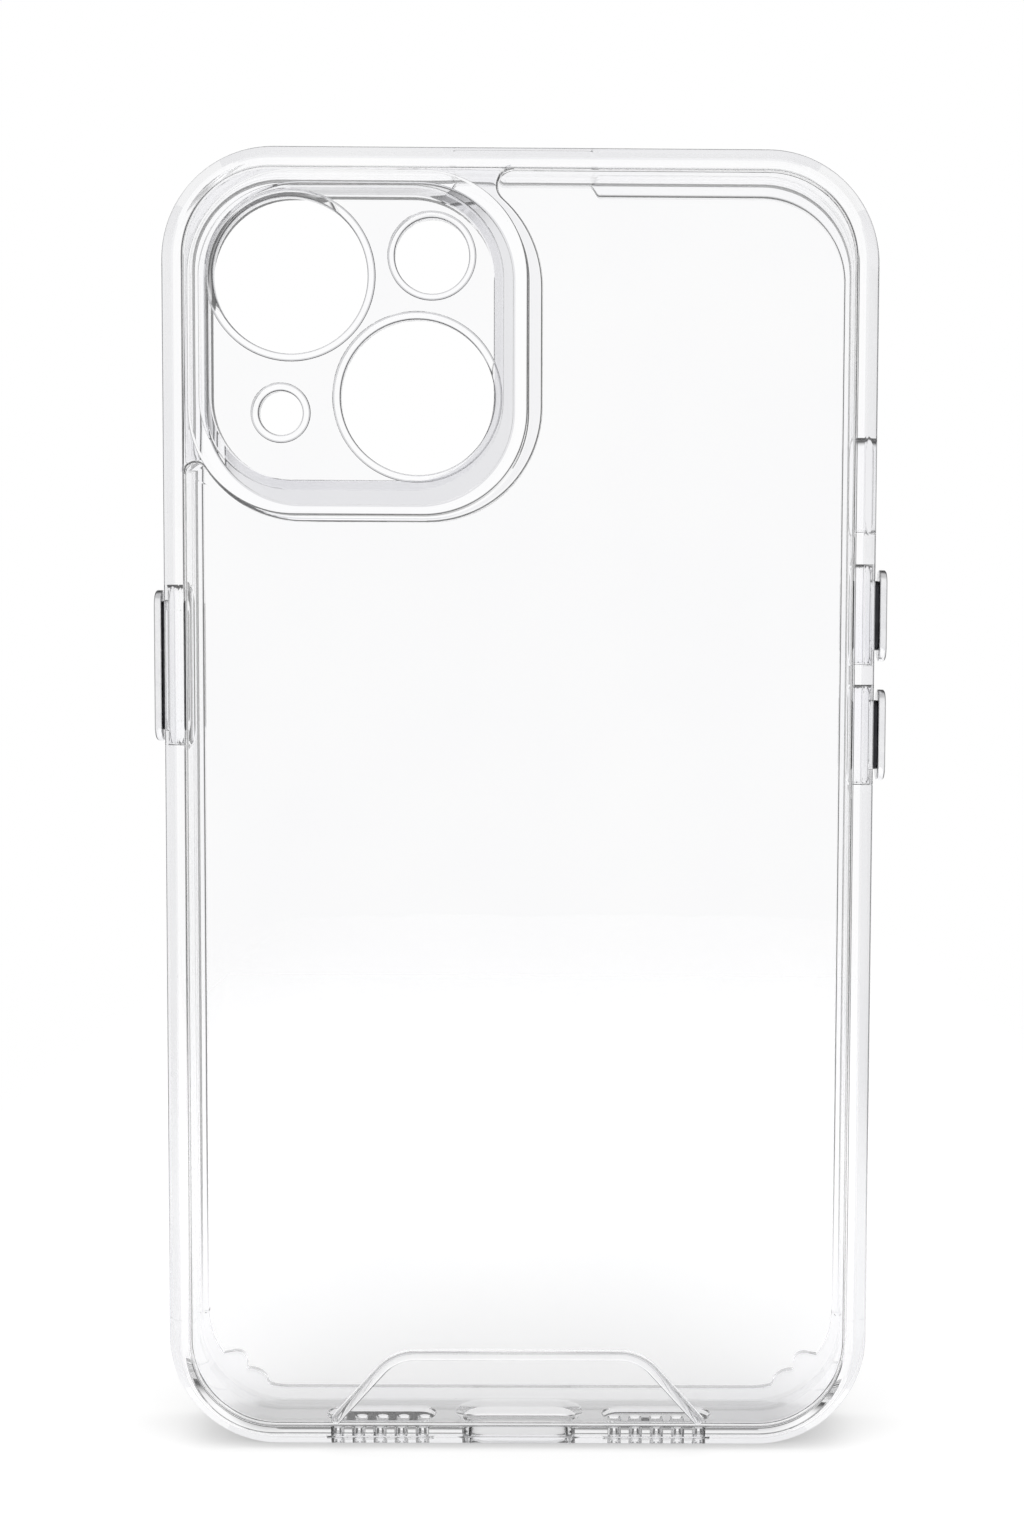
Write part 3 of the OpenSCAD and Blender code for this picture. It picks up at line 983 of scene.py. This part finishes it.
def clear_material(name, tint, ior, roughness, shadow, wave):
    """Clear moulded plastic: a faint tint that drifts, roughness that varies like a polished tool,
    and the shallow waviness of a moulded face. Shadow rays pass, so that it casts a pale shadow."""
    material = bpy.data.materials.new(name)
    tree = node_tree(material)
    nodes, links = tree.nodes, tree.links
    out = nodes.new("ShaderNodeOutputMaterial")
    shader = nodes.new("ShaderNodeBsdfPrincipled")
    shader.inputs["IOR"].default_value = ior
    shader.inputs["Transmission Weight"].default_value = 1
    colour = nodes.new("ShaderNodeMix")
    colour.data_type = "RGBA"
    colour.inputs[6].default_value = (*tint[0], 1)
    colour.inputs[7].default_value = (*tint[1], 1)
    links.new(noise_between(tree, 60, 2, 0, 1), colour.inputs[0])
    links.new(colour.outputs[2], shader.inputs["Base Color"])
    links.new(noise_between(tree, 900, 3, roughness[0], roughness[1]), shader.inputs["Roughness"])
    add_bump(tree, shader, noise_between(tree, 220, 1, 0, 1), 1, wave)
    through = nodes.new("ShaderNodeBsdfTransparent")
    through.inputs["Color"].default_value = (shadow, shadow, shadow, 1)
    path = nodes.new("ShaderNodeLightPath")
    mix = nodes.new("ShaderNodeMixShader")
    links.new(path.outputs["Is Shadow Ray"], mix.inputs[0])
    links.new(shader.outputs[0], mix.inputs[1])
    links.new(through.outputs[0], mix.inputs[2])
    links.new(mix.outputs[0], out.inputs["Surface"])
    return material


def metal_material(name, light, shade, roughness):
    """Plated metal with a satin grain that runs across it in fine lines."""
    material = bpy.data.materials.new(name)
    tree = node_tree(material)
    nodes, links = tree.nodes, tree.links
    out = nodes.new("ShaderNodeOutputMaterial")
    shader = nodes.new("ShaderNodeBsdfPrincipled")
    shader.inputs["Metallic"].default_value = 1
    colour = nodes.new("ShaderNodeMix")
    colour.data_type = "RGBA"
    colour.inputs[6].default_value = (*light, 1)
    colour.inputs[7].default_value = (*shade, 1)
    links.new(noise_between(tree, 700, 4, 0, 1), colour.inputs[0])
    links.new(colour.outputs[2], shader.inputs["Base Color"])
    links.new(noise_between(tree, 2500, 3, roughness[0], roughness[1]), shader.inputs["Roughness"])
    add_bump(tree, shader, noise_between(tree, 5000, 2, 0, 1), 0.5, 0.004)
    links.new(shader.outputs[0], out.inputs["Surface"])
    return material


# ---------------------------------------------------------------- studio

def make_camera():
    data = bpy.data.cameras.new("camera")
    data.sensor_width = SENSOR_MM
    data.lens = LENS_MM
    aside = math.atan(CAMERA_SIDE / CAMERA_DISTANCE) + math.radians(CAMERA_YAW)
    data.shift_x = -math.tan(aside) * LENS_MM / SENSOR_MM
    data.clip_start = 0.01
    data.clip_end = 20
    camera = bpy.data.objects.new("camera", data)
    bpy.context.scene.collection.objects.link(camera)
    elevation = math.radians(CAMERA_ELEVATION)
    away = Vector((0, -math.cos(elevation), math.sin(elevation)))
    spot = (Vector(AIM) + Vector((CAMERA_SIDE, 0, 0)) + away * CAMERA_DISTANCE) * MM
    turn = Matrix.Rotation(math.radians(-CAMERA_YAW), 4, "Z") @ (-away).to_track_quat(
        "-Z", "Y").to_matrix().to_4x4() @ Matrix.Rotation(math.radians(CAMERA_ROLL), 4, "Z")
    camera.matrix_world = Matrix.Translation(spot) @ turn
    bpy.context.scene.camera = camera


# Brightness of the studio against the angle from the backdrop's middle, in degrees: a bright square
# backdrop, dark surroundings, paler walls to the sides and above, and a pale room behind.
STUDIO = ((0, 1.0), (18, 1.0), (35, 0.07), (68, 0.07), (88, 0.6), (120, 0.6), (140, 0.9), (180, 0.9))
FLOOR_GAP = 0.03
# Where the floor fades into the studio, in metres from its middle.
FLOOR_SIDE = (0.055, 0.11)
FLOOR_BACK = (0.10, 0.42)
FLOOR_GLOW = 0.36
CEILING_SIZE = 0.7
CEILING_HEIGHT = 0.8
CEILING_LEVEL = 2.2


def maths(tree, operation, *values):
    """Output of a Math node whose inputs are linked to other outputs."""
    node = tree.nodes.new("ShaderNodeMath")
    node.operation = operation
    for socket, value in zip(node.inputs, values):
        tree.links.new(value, socket)
    return node.outputs[0]


def make_world():
    world = bpy.data.worlds.new("studio")
    bpy.context.scene.world = world
    tree = node_tree(world)
    nodes, links = tree.nodes, tree.links
    out = nodes.new("ShaderNodeOutputWorld")
    back = nodes.new("ShaderNodeBackground")
    coord = nodes.new("ShaderNodeTexCoord")
    split = nodes.new("ShaderNodeSeparateXYZ")
    sideways = maths(tree, "ABSOLUTE", split.outputs["X"])
    upwards = maths(tree, "ABSOLUTE", split.outputs["Z"])
    angle = nodes.new("ShaderNodeMath")
    angle.operation = "ARCTAN2"
    links.new(maths(tree, "MAXIMUM", sideways, upwards), angle.inputs[0])
    share = nodes.new("ShaderNodeMath")
    share.operation = "DIVIDE"
    share.inputs[1].default_value = math.pi
    ramp = nodes.new("ShaderNodeValToRGB")
    ramp.color_ramp.interpolation = "EASE"
    stops = ramp.color_ramp.elements
    while len(stops) < len(STUDIO):
        stops.new(0.5)
    for stop, (degrees, level) in zip(stops, STUDIO):
        stop.position = degrees / 180
        stop.color = (level, level, level, 1)
    links.new(coord.outputs["Generated"], split.inputs[0])
    links.new(split.outputs["Y"], angle.inputs[1])
    links.new(angle.outputs[0], share.inputs[0])
    links.new(share.outputs[0], ramp.inputs["Fac"])
    links.new(ramp.outputs["Color"], back.inputs["Color"])
    links.new(back.outputs[0], out.inputs["Surface"])


def make_floor():
    mesh = bpy.data.meshes.new("floor")
    bm = bmesh.new()
    bmesh.ops.create_circle(bm, cap_ends=True, segments=96, radius=FLOOR_BACK[1] + 0.02)
    bm.to_mesh(mesh)
    bm.free()
    floor = bpy.data.objects.new("floor", mesh)
    floor.location.z = -FLOOR_GAP * MM
    bpy.context.scene.collection.objects.link(floor)
    material = bpy.data.materials.new("floor_white")
    tree = node_tree(material)
    nodes, links = tree.nodes, tree.links
    out = nodes.new("ShaderNodeOutputMaterial")
    shader = nodes.new("ShaderNodeBsdfPrincipled")
    shader.inputs["Base Color"].default_value = (0.9, 0.9, 0.9, 1)
    shader.inputs["Roughness"].default_value = 0.8
    shader.inputs["Specular IOR Level"].default_value = 0.0
    shader.inputs["Emission Color"].default_value = (1, 1, 1, 1)
    shader.inputs["Emission Strength"].default_value = FLOOR_GLOW
    # the floor fades into the backdrop with distance, so that no horizon shows
    coord = nodes.new("ShaderNodeTexCoord")
    split = nodes.new("ShaderNodeSeparateXYZ")
    links.new(coord.outputs["Object"], split.inputs[0])
    fades = []
    for place_along, (start, end) in ((maths(tree, "ABSOLUTE", split.outputs["X"]), FLOOR_SIDE),
                                      (split.outputs["Y"], FLOOR_BACK)):
        fade = nodes.new("ShaderNodeMapRange")
        fade.interpolation_type = "SMOOTHSTEP"
        fade.inputs["From Min"].default_value = start
        fade.inputs["From Max"].default_value = end
        links.new(place_along, fade.inputs["Value"])
        fades.append(fade.outputs["Result"])
    nothing = nodes.new("ShaderNodeBsdfTransparent")
    mix = nodes.new("ShaderNodeMixShader")
    links.new(maths(tree, "MAXIMUM", *fades), mix.inputs[0])
    links.new(shader.outputs[0], mix.inputs[1])
    links.new(nothing.outputs[0], mix.inputs[2])
    links.new(mix.outputs[0], out.inputs["Surface"])
    mesh.materials.append(material)


def make_ceiling():
    """A soft box overhead."""
    data = bpy.data.lights.new("ceiling", "AREA")
    data.shape = "SQUARE"
    data.size = CEILING_SIZE
    data.energy = CEILING_LEVEL * math.pi * CEILING_SIZE ** 2
    ceiling = bpy.data.objects.new("ceiling", data)
    ceiling.location = (0, -0.1, CEILING_HEIGHT)
    bpy.context.scene.collection.objects.link(ceiling)
    ceiling.visible_glossy = False
    ceiling.visible_transmission = False


make_camera()
make_world()
make_ceiling()
make_floor()
hard, soft, eased, bonded, shade, painted_outline, band_painted_shade, bevel = [
    clear_material(name, *look) for name, look in CLEAR.items()]
metal = metal_material("plated", (0.95, 0.95, 0.96), (0.86, 0.86, 0.88), (0.18, 0.28))
# Near-black plating for the keys' necks: painted shade of the gap under each plate.
neck_painted_shade = metal_material("plated_neck_painted_shade", (0.05, 0.05, 0.055), (0.03, 0.03, 0.034), (0.3, 0.42))
make_frame(soft, band_painted_shade, painted_outline, eased)
make_panel(hard)
make_surround(soft, shade, band_painted_shade, eased, bonded)
make_plate(hard, bonded)
for name, lens in (("upper_lens_bezel", UPPER_LENS), ("lower_lens_bezel", LOWER_LENS),
                   ("flash_bezel", FLASH), ("microphone_bezel", MICROPHONE)):
    make_bezel(name, lens, bevel, painted_outline)
make_rib(soft)
for key in ("power_key", "volume_up_key", "volume_down_key"):
    make_key(key, metal, neck_painted_shade, eased)

scene = bpy.context.scene
scene.cycles.max_bounces = 32
scene.cycles.transmission_bounces = 32
scene.cycles.transparent_max_bounces = 32
scene.cycles.glossy_bounces = 16
scene.cycles.caustics_reflective = False
scene.cycles.caustics_refractive = False
scene.cycles.use_adaptive_sampling = False
scene.view_settings.view_transform = "Standard"
